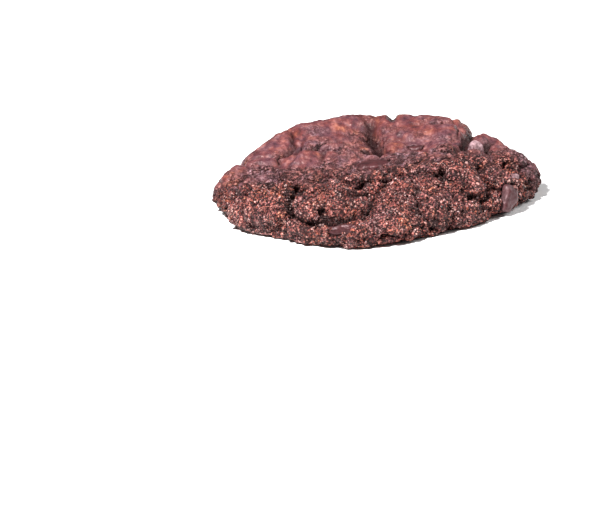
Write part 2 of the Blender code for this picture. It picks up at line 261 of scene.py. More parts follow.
# lumps of dough that stand out of the crust, each in its own crease: x, y and z of the middle,
# half the length along and across the edge, the height, and the depth of the crease round it
BOULDERS = [
    (-12.2, -32.3, 9.0, 10.0, 6.6, 3.0, 1.6),
    (21.8, -21.0, 10.8, 4.8, 8.0, 1.8, 1.8),
    (31.5, -18.0, 7.0, 5.0, 6.5, 1.0, 0.6),
    (5.5, -28.0, 9.5, 8.0, 7.0, 1.0, 0.3),
    (-27.0, -24.0, 8.0, 8.5, 7.0, 1.2, 1.0),
    (33.0, -5.0, 8.5, 6.0, 6.0, 1.2, 0.5),
]
BOULDER_ROUNDNESS = 0.6
BOULDER_WAVER = (5.0, 1.3, 31.0)
CREASE_WIDTH = 0.9
# a crease or crack of this depth counts in full, and gets all of the painted shade
FULL_SHADE_DEPTH = 2.0


def boulder_relief(points):
    """How far the boulders move each point out, and how deep in a crease it lies, 0 to 1."""
    moved = wandered(points, *BOULDER_WAVER)
    relief = np.zeros(len(points))
    creases = np.zeros(len(points))
    for x, y, z, along, across, height, crease in BOULDERS:
        azimuth = math.atan2(y, x)
        offset = moved - (x, y, z)
        sideways = offset[:, 1] * math.cos(azimuth) - offset[:, 0] * math.sin(azimuth)
        rest = (offset**2).sum(axis=1) - sideways**2
        away = np.sqrt((sideways / along) ** 2 + np.maximum(rest, 0.0) / across**2)
        groove = np.exp(-(((away - 1.0) * across / CREASE_WIDTH) ** 2))
        relief += height * np.maximum(0.0, 1.0 - away**2) ** BOULDER_ROUNDNESS - crease * groove
        creases = np.maximum(creases, groove * min(1.0, crease / FULL_SHADE_DEPTH))
    return relief, creases


# folds of the crust: the height of a ridge, or the depth of a crack as a minus, its half width to
# the left and to the right, and the points it runs through. It fades out over a share of its
# length at both ends
FOLDS = [
    (1.2, 2.0, 7.0, [
        (-38, -12, 7), (-34, -12, 8), (-29, -17, 10), (-23, -20, 10.5), (-19.5, -24, 11), (-13, -24, 12),
    ]),
    (1.2, 2.0, 7.0, [
        (-17, -24, 11.5), (-7, -25, 12), (-2.5, -23, 12.5), (4, -17.8, 13), (11, -18, 13),
        (16, -14.5, 13), (22, -14.5, 13),
    ]),
    (2.0, 1.0, 7.0, [
        (-23, -0.5, 10), (-17, 6.5, 11), (-9.4, 9.4, 12), (-6.3, 9, 12.5), (-4, 5.4, 12), (-2.8, 1.8, 11),
    ]),
    (1.4, 6.0, 1.1, [
        (3.2, 32, 14), (3.2, 19.5, 13), (2.9, 16, 11.5), (2.8, 11, 10.5), (3.8, 6.5, 10), (7, 3, 10),
    ]),
    (1.6, 1.1, 6.0, [
        (22.6, 27, 11), (22.1, 19, 11.5), (21.9, 10, 11.5), (21, 1.6, 11.3), (19, -6, 11.5),
    ]),
    (0.9, 1.4, 1.4, [(5, -19.3, 12.5), (11, -20, 12.5), (14.8, -18.5, 13), (19.5, -18.5, 13)]),
    (-2.4, 0.9, 1.1, [(-13, 12.6, 11), (-10, 14.4, 11), (-6.5, 15, 11), (-4, 13.6, 10.5)]),
    (-2.6, 1.2, 1.2, [
        (-21, 7, 10.5), (-16.5, 10.5, 11), (-12.5, 13.5, 11), (-7.5, 15.5, 11), (-3.5, 13, 10),
        (-0.8, 7.5, 9.6),
    ]),
    (-1.8, 1.7, 2.6, [
        (0.2, 34, 14), (0.3, 26, 12), (0.8, 21, 10), (1, 15, 9), (1.3, 10, 9), (1, 5, 9),
    ]),
    (-1.8, 1.1, 1.1, [(7, 48, 5), (6.8, 42, 9), (6.4, 35, 12), (6, 24, 13)]),
    (-2.6, 1.4, 1.4, [(27.6, 26, 9), (26.7, 21, 10), (25, 14, 10.5), (23.2, 5, 10), (22.5, -2, 10)]),
    (-2.0, 1.0, 1.0, [(31, 15, 9), (29.6, 10, 9.5), (28.3, 3.8, 9.3), (27.8, -3, 10), (27.9, -12, 10)]),
    (-2.6, 1.0, 1.0, [
        (24.5, -10, 12), (26.2, -19.5, 11), (26.1, -24, 7.5), (25.7, -28.2, 4.8), (25, -33, 0),
    ]),
    (-1.5, 1.3, 1.3, [(9.5, -39, 5), (8.7, -35.5, 7), (9, -31, 9), (8, -25, 11)]),
    (-1.3, 1.0, 1.0, [(17.3, -39, 0), (17.2, -33.5, 4), (17, -31, 7), (17.8, -25, 10)]),
    (-2.6, 1.3, 1.3, [(-19.5, -21, 11), (-22, -26, 9), (-22.5, -29.5, 7), (-21, -32, 6)]),
    (-1.8, 0.9, 0.9, [
        (-20.8, 26, 13), (-20.9, 19, 12.6), (-20.4, 15, 12), (-21.4, 11.5, 11), (-24, 8, 10),
    ]),
    (-1.7, 0.9, 0.9, [
        (-33, 4, 9.5), (-26.5, -2.3, 10), (-23, -9.8, 10.6), (-19.4, -15, 10.8), (-12, -16.7, 11.7),
        (-5, -17, 12),
    ]),
    (-1.6, 0.8, 0.8, [
        (-10, -27.5, 11.3), (-4, -26.7, 11.6), (1, -26.3, 11.3), (5, -25, 11.2), (10, -26.3, 10.8),
    ]),
    (-1.5, 0.8, 0.8, [
        (1, -15.5, 12), (7, -15.2, 12.4), (12, -13.5, 12.5), (16, -11, 12.5), (20, -9.5, 12.8),
    ]),
    (-1.7, 0.8, 0.8, [
        (4, -22.7, 12), (8, -22.5, 11.5), (11.5, -21.8, 11.6), (14.5, -22, 11.5), (18, -24.5, 10),
    ]),
    (-1.4, 0.8, 0.8, [(12, 1.5, 10.5), (16, -2.5, 11), (23, -4.5, 11)]),
]
FOLD_FADE = 0.15
FOLD_WAVER = (4.0, 1.1, 11.0)
# how much a difference in height counts in the distance from a fold
FOLD_HEIGHT_SHARE = 0.3


def distance_to_path(points, path):
    """Distance to a path, which points lie left of it, and 1 along it but 0 at its two ends."""
    nearest = np.full(len(points), np.inf)
    left = np.zeros(len(points), bool)
    along = np.zeros(len(points))
    ends = np.array(path, float)
    for number, (start, end) in enumerate(zip(ends[:-1], ends[1:])):
        run = end - start
        share = np.clip((points - start) @ run / (run @ run), 0.0, 1.0)
        away = points - start - share[:, None] * run
        distance = np.hypot(np.hypot(away[:, 0], away[:, 1]), FOLD_HEIGHT_SHARE * away[:, 2])
        closer = distance < nearest
        nearest[closer] = distance[closer]
        left[closer] = (run[0] * away[:, 1] - run[1] * away[:, 0])[closer] > 0.0
        along[closer] = (number + share[closer]) / (len(ends) - 1)
    return nearest, left, np.clip(np.minimum(along, 1.0 - along) / FOLD_FADE, 0.0, 1.0)


def fold_relief(points):
    """How far the folds move each point out, and how deep in a crack it lies, 0 to 1."""
    moved = wandered(points, *FOLD_WAVER)
    ridges = np.zeros(len(points))
    cracks = np.zeros(len(points))
    for rise, left_width, right_width, path in FOLDS:
        distance, left, fade = distance_to_path(moved, path)
        fold = rise * fade * np.exp(-((distance / np.where(left, left_width, right_width)) ** 2))
        ridges = np.maximum(ridges, fold)
        cracks = np.minimum(cracks, fold)
    return ridges + cracks, np.clip(-cracks / FULL_SHADE_DEPTH, 0.0, 1.0)


# rounded lumps all over, the largest first: the size, the height, the shift of the noise, and
# whether creases run between lumps of this size
LUMPS = [
    (7.5, 1.7, 3.0, True),
    (3.6, 1.4, 9.0, True),
    (1.7, 1.0, 15.0, False),
]
# the level in the noise of the lumps that the crust keeps: what is below it sinks in
LUMP_MIDDLE = 0.2
# full height nearer than the one y, and this share of it beyond the other
LUMPS_FULL = -14.0
LUMPS_END = 14.0
FAR_LUMP_SHARE = 0.3
# the creases: how much of the lumps' waves they take, and how open they are, as the mean, how much
# that varies, and over what distance
LUMP_CREASE = 0.09
CREASE_OPENNESS = 0.35
CREASE_SPREAD = 1.8
CREASE_PATCH = 9.0


def lump_relief(points):
    """How far the lumps move each point out, and how deep in a crease it lies, 0 to 1."""
    nearness = np.clip((LUMPS_END - points[:, 1]) / (LUMPS_END - LUMPS_FULL), FAR_LUMP_SHARE, 1.0)
    relief = np.zeros(len(points))
    crease = np.zeros(len(points))
    for size, height, shift, creased in LUMPS:
        waves = np.abs(noise_at(points, size, shift))
        relief += height * (waves - LUMP_MIDDLE)
        if creased:
            crease = np.maximum(crease, np.clip(1.0 - waves / LUMP_CREASE, 0.0, 1.0))
    openness = CREASE_OPENNESS + CREASE_SPREAD * noise_at(points, CREASE_PATCH, 95.0)
    return relief * nearness, crease * np.clip(openness, 0.0, 1.0) * nearness**2


# the line, as x and y, where the smooth top ends and the broken near slope begins
CREST = [
    (-41, -4), (-34, -10), (-29, -14), (-20, -21.5), (-7, -22.5), (4, -17), (16, -14), (22, -10),
    (28, -7), (34, -7), (41, -10),
]
# how far that line wavers, how long its waves are, and how wide a band the change takes
SLOPE_WAVER = 5.0
SLOPE_WAVES = 4.0
SLOPE_BAND = 4.0
# the crumb is coarser nearer than this y and below this z, in full these distances further on
NEARER_THAN = 4.0
NEARER_BAND = 8.0
LOWER_THAN = 5.0
LOWER_BAND = 4.0
# how coarse it is, and how much its patches add to that: everywhere, on the nearer part and where
# the crust broke open. The low edge counts as broken by a share, and cracks add a little more
COARSE_ANYWHERE = (0.08, 0.12)
COARSE_NEARER = (0.12, 0.10)
COARSE_BROKEN = (0.32, 0.20)
EDGE_SHARE = 0.5
COARSE_IN_CRACKS = 0.1
# the size of these patches, and how much they differ
COARSE_PATCH = 6.0
COARSE_SPREAD = 1.5


def beyond_crest(points):
    """How far each point lies on the near side of the crest."""
    crest_x, crest_y = np.array(CREST, float).T
    return np.interp(points[:, 0], crest_x, crest_y) - points[:, 1]


def crumb_coarseness(points, crack):
    """How coarse the crumb is, from about 0.1 on the smooth far rim up to 1 on the broken slope."""
    waver = SLOPE_WAVER * noise_at(points, SLOPE_WAVES, 66.0)
    slope = np.clip((beyond_crest(points) + waver) / SLOPE_BAND, 0.0, 1.0)
    nearer = np.clip((NEARER_THAN - points[:, 1]) / NEARER_BAND, 0.0, 1.0)
    side = np.clip((LOWER_THAN - points[:, 2]) / LOWER_BAND, 0.0, 1.0)
    patches = np.clip(0.5 + COARSE_SPREAD * noise_at(points, COARSE_PATCH, 71.0), 0.0, 1.0)

    def patchy(least, added):
        return least + added * patches

    broken = patchy(*COARSE_BROKEN) * np.maximum(slope, EDGE_SHARE * side)
    coarse = patchy(*COARSE_ANYWHERE) + patchy(*COARSE_NEARER) * nearer + broken
    return np.clip(coarse + COARSE_IN_CRACKS * crack, 0.0, 1.0)


# thin layers of crust along the crest, which split into cracks that run with it
LAYER_LENGTH = 8.0
LAYER_THICKNESS = 2.0
LAYER_HEIGHT = 1.6
LAYER_DEPTH = 1.3
LAYER_SPLIT = 0.17
LAYER_WAVER = (5.0, 1.6, 83.0)
# the crest's band of layers: its middle, and how far it reaches down the slope and over the top
LAYER_MIDDLE = 2.0
LAYER_DOWN = 5.0
LAYER_BACK = 14.0


def layer_relief(points):
    """How far the layers move each point out, and how deep in a split it lies, 0 to 1."""
    away = beyond_crest(points) - LAYER_MIDDLE
    band = np.exp(-((away / np.where(away > 0.0, LAYER_DOWN, LAYER_BACK)) ** 2))
    size = (LAYER_LENGTH, LAYER_THICKNESS, LAYER_THICKNESS)
    waves = np.abs(noise_at(wandered(points, *LAYER_WAVER) / size, 1.0, 88.0))
    split = band * np.clip(1.0 - waves / LAYER_SPLIT, 0.0, 1.0)
    return LAYER_HEIGHT * band * (waves - LUMP_MIDDLE) - LAYER_DEPTH * split, split


# grains of crumb, packed side by side: their size, their height where the crumb is coarsest, and
# how far their slopes reach from their middles, in sizes
GRAIN_SIZE = 0.80
GRAIN_HEIGHT = 0.34
GRAIN_REACH = 0.8
GRAIN_WAVER = (1.6, 0.25, 57.0)
# the height on a grain that the crust keeps: what is below it sinks in
GRAIN_MIDDLE = 0.7
# the grains' middles are spread by this much to find a random tone for each
TONE_SPREAD = 37.0
# small pits between them
PIT_SPACING = 3.4
PIT_RADIUS = 0.5
PIT_DEPTH = 0.6
PIT_SHIFT = 23.0


def grains(points):
    """How high on its grain each point lies, 0 to 1, and the grain's random tone, 0 to 1."""
    height = np.zeros(len(points))
    tone = np.zeros(len(points))
    for number, point in enumerate(wandered(points, *GRAIN_WAVER) / GRAIN_SIZE):
        distances, places = noise.voronoi(Vector(point))
        height[number] = math.sqrt(max(0.0, 1.0 - (distances[0] / GRAIN_REACH) ** 2))
        tone[number] = 0.5 + 0.5 * noise.cell(places[0] * TONE_SPREAD)
    return height, tone


def pits(points):
    """How deep in a pit each point lies, 0 to 1."""
    moved = points / PIT_SPACING + PIT_SHIFT
    distance = np.array([noise.voronoi(Vector(point))[0][0] for point in moved])
    return np.exp(-((distance * PIT_SPACING / PIT_RADIUS) ** 2))


def normals_of(points, faces):
    """The normal at each point, as the mean of its triangles' normals by their areas."""
    corners = points[faces]
    cross = np.cross(corners[:, 1] - corners[:, 0], corners[:, 2] - corners[:, 0])
    normals = np.zeros_like(points)
    for corner in range(3):
        np.add.at(normals, faces[:, corner], cross)
    return normals / np.linalg.norm(normals, axis=1, keepdims=True)


# relief acts upwards from this level above the flat base, and in full this much higher
FREE_LEVEL = 0.1
FREE_RISE = 1.5


def moved_out(points, faces, relief):
    """The points moved along their normals, and those near the flat base only sideways."""
    above = np.clip((points[:, 2] - FREE_LEVEL) / FREE_RISE, 0.0, 1.0)
    moves = normals_of(points, faces) * relief[:, None]
    moves[:, 2] *= above
    return points + moves


# the crust drops by the pocket's depth inside a chip, and by a share of it within reach of one
CHIP_NAMES = [name for name in sorted(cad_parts) if name.startswith("chip")]
POCKET_REACH = 0.45
POCKET_DEPTH = 1.3
POCKET_RIM_SHARE = 0.5
# how far from a chip's surface its pocket is looked for, also inside the thickest chip
POCKET_SEARCH = 4.9


def chip_surface(shift):
    """All chips as one tree of triangles, in millimetres and in the dough's own coordinates."""
    corners = []
    faces = []
    for name in CHIP_NAMES:
        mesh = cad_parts[name].data
        mesh.calc_loop_triangles()
        faces += [[len(corners) + number for number in face.vertices] for face in mesh.loop_triangles]
        corners += [vert.co / MM - shift for vert in mesh.vertices]
    return BVHTree.FromPolygons(corners, faces)


def pocket_mask(points, chips):
    """1 inside a chip, and from the rim's share down to 0 at the pocket's reach from it."""
    mask = np.zeros(len(points))
    for number, point in enumerate(points):
        foot, normal, _, distance = chips.find_nearest(Vector(point), POCKET_SEARCH)
        if foot is None:
            continue
        inside = (Vector(point) - foot).dot(normal) < 0.0
        rim = POCKET_RIM_SHARE * max(0.0, 1.0 - distance / POCKET_REACH)
        mask[number] = 1.0 if inside else rim
    return mask


# crests that rise above this level sagged as they baked, to a share of what they stood above it
SAG_LEVEL = 13.9
SAG_SHARE = 0.35


def dough_shape():
    """Points and triangles of the finished dough, and what its crumb is like at each point."""
    points, faces = plain_body()
    plates, plate_cracks = plate_relief(points)
    boulders, creases = boulder_relief(points)
    folds, fold_cracks = fold_relief(points)
    layers, splits = layer_relief(points)
    crack = np.maximum.reduce([plate_cracks, creases, fold_cracks, splits])
    coarse = crumb_coarseness(points, crack)
    points = moved_out(points, faces, plates + boulders + folds)
    lumps, lump_creases = lump_relief(points)
    crack = np.maximum(crack, lump_creases)
    points = moved_out(points, faces, lumps + layers)
    middle = (points.min(axis=0) + points.max(axis=0)) / 2.0
    cad_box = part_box("dough")
    cad_middle = (cad_box[0] + cad_box[1]) / 2.0 / MM
    shift = Vector((cad_middle.x - middle[0], cad_middle.y - middle[1], 0.0))
    pocket = pocket_mask(points, chip_surface(shift))
    height, tone = grains(points)
    pit = pits(points)
    crumb = GRAIN_HEIGHT * coarse * (height - GRAIN_MIDDLE) - PIT_DEPTH * coarse**2 * pit
    points = moved_out(points, faces, crumb * (1.0 - pocket) - POCKET_DEPTH * pocket)
    points[:, 2] -= (1.0 - SAG_SHARE) * np.maximum(points[:, 2] - SAG_LEVEL, 0.0)
    looks = {"crack": crack, "coarse": coarse, "height": height}
    looks.update({"tone": tone, "pit": pit, "pocket": pocket})
    return points + np.array(shift), faces, looks


def add_mesh(name, points, faces):
    """A smooth mesh object of these points in millimetres and these triangles."""
    mesh = bpy.data.meshes.new(name)
    mesh.from_pydata((points * MM).tolist(), [], faces.tolist())
    mesh.shade_smooth()
    obj = bpy.data.objects.new(name, mesh)
    bpy.context.scene.collection.objects.link(obj)
    return obj


def set_attribute(mesh, name, values):
    """Stores one value for each point of the mesh, for its material to read."""
    layer = mesh.attributes.new(name, "FLOAT", "POINT")
    layer.data.foreach_set("value", values.astype(np.float32))


dough_points, dough_faces, dough_looks = dough_shape()
dough = add_mesh("dough_crust", dough_points, dough_faces)
for look, values in dough_looks.items():
    set_attribute(dough.data, look, values)


class Value:
    """A number socket of a node tree, which can be added, subtracted and multiplied."""

    def __init__(self, graph, socket):
        self.graph = graph
        self.socket = socket

    def __add__(self, other):
        return self.graph.maths("ADD", self, other)

    def __sub__(self, other):
        return self.graph.maths("SUBTRACT", self, other)

    def __mul__(self, other):
        return self.graph.maths("MULTIPLY", self, other)


class Graph:
    """A node tree that is being built, with a function for each kind of node it needs often."""

    def __init__(self, tree):
        self.tree = tree

    def feed(self, socket, value):
        """Links the value to the socket, or sets it there if it is a plain one."""
        if isinstance(value, Value):
            value = value.socket
        if isinstance(value, bpy.types.NodeSocket):
            self.tree.links.new(value, socket)
        else:
            socket.default_value = value

    def node(self, kind, settings, inputs):
        """A node of this kind: its settings first, then the values or links of its sockets."""
        made = self.tree.nodes.new(kind)
        stops = settings.pop("stops", None)
        for name, value in settings.items():
            setattr(made, name, value)
        if stops:
            ramp = made.color_ramp
            for place, colour in stops[1:-1]:
                ramp.elements.new(place).color = colour
            ramp.elements[0].position, ramp.elements[0].color = stops[0]
            ramp.elements[-1].position, ramp.elements[-1].color = stops[-1]
        for key, value in inputs.items():
            self.feed(made.inputs[key], value)
        return made

    def maths(self, operation, a, b):
        """The result of one sum with these two values."""
        made = self.node("ShaderNodeMath", {"operation": operation}, {0: a, 1: b})
        return Value(self, made.outputs[0])

    def kept_within(self, value, low, high, new_low=0.0, new_high=1.0):
        """The value from low to high stretched to the new range, and held inside it."""
        inputs = {0: value, 1: low, 2: high, 3: new_low, 4: new_high}
        made = self.node("ShaderNodeMapRange", {"clamp": True}, inputs)
        return Value(self, made.outputs[0])

    def attribute(self, name):
        made = self.node("ShaderNodeAttribute", {"attribute_name": name}, {})
        return Value(self, made.outputs["Fac"])

    def place(self, shares=(1.0, 1.0, 1.0)):
        """The place on the object, with each axis multiplied by its share."""
        own = self.node("ShaderNodeTexCoord", {}, {}).outputs["Object"]
        return self.node("ShaderNodeMapping", {}, {"Vector": own, "Scale": shares}).outputs[0]

    def noise(self, size, detail=3.0, roughness=0.5, shares=(1.0, 1.0, 1.0)):
        """Soft noise whose waves are about this many millimetres long, 0 to 1."""
        inputs = {"Vector": self.place(shares), "Scale": 1.0 / (size * MM)}
        inputs.update({"Detail": detail, "Roughness": roughness})
        made = self.node("ShaderNodeTexNoise", {}, inputs)
        return Value(self, made.outputs[0])

    def cells(self, size, output):
        """Packed cells of about this many millimetres: their Distance, or a random Color for each."""
        inputs = {"Vector": self.place(), "Scale": 1.0 / (size * MM)}
        made = self.node("ShaderNodeTexVoronoi", {}, inputs)
        return Value(self, made.outputs[output])

    def ramp(self, value, stops):
        """The colour at this value between the stops."""
        return self.node("ShaderNodeValToRGB", {"stops": stops}, {0: value}).outputs[0]

    def mixed(self, share, first, second, blend="MIX"):
        """The first colour, with this share of the second mixed in."""
        settings = {"data_type": "RGBA", "blend_type": blend}
        return self.node("ShaderNodeMix", settings, {0: share, 6: first, 7: second}).outputs[2]

    def bump(self, height, distance, strength, below=None):
        """A normal that shows this height as relief, on top of the relief below."""
        inputs = {"Height": height, "Distance": distance * MM, "Strength": strength}
        if below is not None:
            inputs["Normal"] = below
        return self.node("ShaderNodeBump", {}, inputs).outputs[0]


def new_material(name):
    """A material, the graph of its nodes and its shader."""
    made = bpy.data.materials.new(name)
    made.use_nodes = True
    return made, Graph(made.node_tree), made.node_tree.nodes["Principled BSDF"]


# the size of the finest grains, and their colours from nearly black through red to pale brown
CELL_SIZE = 0.48
GRAIN_TONES = [
    (0.0, (0.005, 0.001, 0.002, 1.0)),
    (0.25, (0.066, 0.015, 0.016, 1.0)),
    (0.5, (0.330, 0.084, 0.072, 1.0)),
    (0.75, (0.620, 0.205, 0.160, 1.0)),
    (1.0, (0.780, 0.390, 0.315, 1.0)),
]
# the smooth top, which is darker and more even
TOP_TONES = [
    (0.0, (0.036, 0.011, 0.014, 1.0)),
    (0.4, (0.094, 0.026, 0.029, 1.0)),
    (0.7, (0.142, 0.046, 0.044, 1.0)),
    (1.0, (0.250, 0.104, 0.094, 1.0)),
]
# the sunken middle, where the crust wrinkled
WRINKLE_TONES = [
    (0.0, (0.028, 0.008, 0.010, 1.0)),
    (0.45, (0.140, 0.043, 0.045, 1.0)),
    (1.0, (0.480, 0.240, 0.230, 1.0)),
]
# patches of the crust that are more purple, and others that are more orange
TINTS = [
    (0.40, (0.86, 1.02, 1.22, 1.0)),
    (0.48, (1.0, 0.98, 1.02, 1.0)),
    (0.55, (1.08, 0.92, 0.88, 1.0)),
    (0.64, (1.26, 1.06, 0.74, 1.0)),
]
# the colour of the painted shade in gaps, cracks, pits, creases and round the chips
PAINTED_SHADE_COLOUR = (0.016, 0.003, 0.004, 1.0)
# the pale colour of painted glints on the tops of grains
PAINTED_GLINT_COLOUR = (0.74, 0.48, 0.45, 1.0)
CRUST_SPECULAR = 0.4
CRUST_SPECULAR_TINT = (1.0, 0.72, 0.68, 1.0)
# the coarseness from which the crust is wrinkled, and the one at which it is so in full; the same
# for crumb that broke open
WRINKLED = (0.15, 0.28)
BROKEN = (0.38, 0.62)
# soft noises of the crust. Here and below, such a row holds the size in millimetres, the detail,
# and sometimes the roughness and the share of each axis
GRAIN_PATCHES = (1.8, 4.0, 0.65)
MOTTLES = (2.0, 4.0, 0.6, (1.0, 0.5, 1.0))
WRINKLES = (1.3, 5.0, 0.75)
TINT_PATCHES = (7.0, 2.0)
TINT_MOTTLES = (2.4, 3.0, 0.6)
CREASE_LINES = (2.2, 3.0, 0.6)
# where the painted glints gather
PAINTED_GLINT_PATCHES = (4.0, 2.0)
FINE_RELIEF = (0.35, 3.0, 0.6)
SOFT_RELIEF = (1.8, 4.0, 0.6, (1.0, 0.7, 1.0))


def dough_material():
    """The crust: mottled on the far rim, wrinkled in the middle, and grains where it broke open."""
    made, graph, shader = new_material("baked dough")
    coarse = graph.attribute("coarse")
    cell = graph.cells(CELL_SIZE, "Distance")
    # adding 0 turns the random colour of each cell into one number
    own_tone = graph.maths("ADD", graph.cells(CELL_SIZE, "Color"), 0.0)
    tone = own_tone * 0.5 + graph.attribute("tone") * 0.15 + graph.noise(*GRAIN_PATCHES) * 0.35
    broken = graph.ramp(graph.kept_within(tone, 0.29, 0.71), GRAIN_TONES)
    mottles = graph.noise(*MOTTLES) * 0.9 + own_tone * 0.1
    top = graph.ramp(graph.kept_within(mottles, 0.34, 0.66), TOP_TONES)
    wrinkled = graph.kept_within(coarse, *WRINKLED)
    wrinkles = graph.kept_within(graph.noise(*WRINKLES) * 0.8 + own_tone * 0.2, 0.36, 0.64)
    colour = graph.mixed(wrinkled, top, graph.ramp(wrinkles, WRINKLE_TONES))
    colour = graph.mixed(graph.kept_within(coarse, *BROKEN), colour, broken)
    warmth = graph.noise(*TINT_PATCHES) * 0.55 + graph.noise(*TINT_MOTTLES) * 0.45
    colour = graph.mixed(1.0, colour, graph.ramp(warmth, TINTS), "MULTIPLY")
    # painted shade: gaps between grains, cracks, pits, creases and the rims of pockets are painted dark
    grain_gap_shade = graph.kept_within(cell, 0.42, 0.72, 0.0, 0.95) * graph.kept_within(coarse, 0.12, 0.6)
    low_grain_shade = graph.kept_within(graph.attribute("height"), 0.15, 0.8, 0.9, 0.0) * coarse
    depth = graph.attribute("crack") + graph.attribute("pit") * coarse
    deep = graph.kept_within(depth, 0.25, 0.9, 0.0, 0.9)
    fold = graph.maths("ABSOLUTE", graph.noise(*CREASE_LINES) - 0.5, 0.0)
    crease = graph.kept_within(fold, 0.0, 0.06, 0.9, 0.0) * wrinkled
    crease = crease * graph.kept_within(coarse, 0.4, 0.7, 1.0, 0.2)
    rim = graph.kept_within(graph.attribute("pocket"), 0.0, 0.4, 0.0, 0.8)
    # the painted shade also darkens the low parts of grains; in cracks it stands partly for darker, less
    # baked dough
    painted_shade = graph.kept_within(grain_gap_shade + low_grain_shade + deep + crease + rim, 0.0, 1.0)
    colour = graph.mixed(painted_shade, colour, PAINTED_SHADE_COLOUR)
    # painted highlights: the tops of a few grains are painted pale, as glints
    painted_glint_patches = graph.kept_within(graph.noise(*PAINTED_GLINT_PATCHES), 0.48, 0.66)
    painted_glint = graph.kept_within(own_tone, 0.62, 0.72) * painted_glint_patches
    painted_glint = painted_glint * graph.kept_within(coarse, 0.5, 0.7) * graph.kept_within(cell, 0.35, 0.6, 1.0, 0.0)
    graph.feed(shader.inputs["Base Color"], graph.mixed(painted_glint, colour, PAINTED_GLINT_COLOUR))
    graph.feed(shader.inputs["Roughness"], graph.kept_within(own_tone, 0.3, 0.8, 0.6, 0.3))
    shader.inputs["Specular IOR Level"].default_value = CRUST_SPECULAR
    shader.inputs["Specular Tint"].default_value = CRUST_SPECULAR_TINT
    # four layers of fine relief, from the finest to the rounded grains
    rounded = graph.kept_within(cell, 0.0, 0.8, 1.0, 0.0)
    rounded = rounded * graph.kept_within(coarse, 0.1, 0.6, 0.15, 1.0)
    roughened = graph.noise(*FINE_RELIEF) * graph.kept_within(coarse, 0.1, 0.5, 0.3, 1.0)
    fine = graph.bump(roughened, 0.18, 0.8)
    creased = graph.bump(graph.kept_within(fold, 0.0, 0.14) * wrinkled, 0.8, 1.0, fine)
    mottled = graph.bump(graph.noise(*SOFT_RELIEF), 0.7, 0.8, creased)
    graph.feed(shader.inputs["Normal"], graph.bump(rounded, 0.32, 1.0, mottled))
    return made


baked_dough = dough_material()
dough.data.materials.append(baked_dough)
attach(dough, "root")
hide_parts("dough")


# Loose crumb: grains of dough and coarse sugar that stand out of the broken crust. Each kind is
# scattered over the crust by Geometry Nodes, thickest where the crust is coarsest and not at all
# deep in cracks or round the chips, and each grain has a tone of its own.

# name, mean size and its spread, most grains per square millimetre, least distance, seed
CRUMB_KINDS = [
    ("coarse_crumb", 0.62, 0.20, 0.20, 0.90, 3),
    ("middle_crumb", 0.42, 0.12, 1.0, 0.50, 8),
    ("fine_crumb", 0.28, 0.09, 3.2, 0.22, 21),
]
# it lies where the crust is coarser than this, in full where it is this much coarser, and above
# this level over the base, in full this much higher
CRUMB_FROM = 0.45
CRUMB_SPAN = 0.35
CRUMB_LEVEL = 0.8
CRUMB_RISE = 1.0
# how uneven a grain is, how many bumps fit across it, and how it is stretched along each axis
GRAIN_UNEVENNESS = 0.45
GRAIN_BUMPS = 3.0
GRAIN_STRETCH = (1.15, 0.95, 0.85)
TONE_SEED = 77
GREYS = [(0.0, (0.0, 0.0, 0.0, 1.0)), (1.0, (1.0, 1.0, 1.0, 1.0))]
CRUMB_TONES = [
    (0.0, (0.010, 0.003, 0.004, 1.0)),
    (0.4, (0.080, 0.020, 0.021, 1.0)),
    (0.8, (0.300, 0.088, 0.074, 1.0)),
    (0.95, (0.480, 0.180, 0.138, 1.0)),
    (1.0, (0.660, 0.360, 0.300, 1.0)),
]
CRUMB_TINTS = (4.5, 5.0, 0.6)
CRUMB_SPECKS = (0.3, 2.0)
CRUMB_RELIEF = (0.25, 2.0)


def grain_object(name, seed):
    """One angular grain of unit size, which the scatter repeats."""
    shape = bmesh.new()
    bmesh.ops.create_icosphere(shape, subdivisions=1, radius=0.5)
    for vert in shape.verts:
        push = 1.0 + GRAIN_UNEVENNESS * noise.noise(vert.co * GRAIN_BUMPS + Vector((seed, 0.0, 0.0)))
        vert.co = Vector([part * stretch for part, stretch in zip(vert.co, GRAIN_STRETCH)]) * push
    mesh = bpy.data.meshes.new(name)
    shape.to_mesh(mesh)
    shape.free()
    return bpy.data.objects.new(name, mesh)


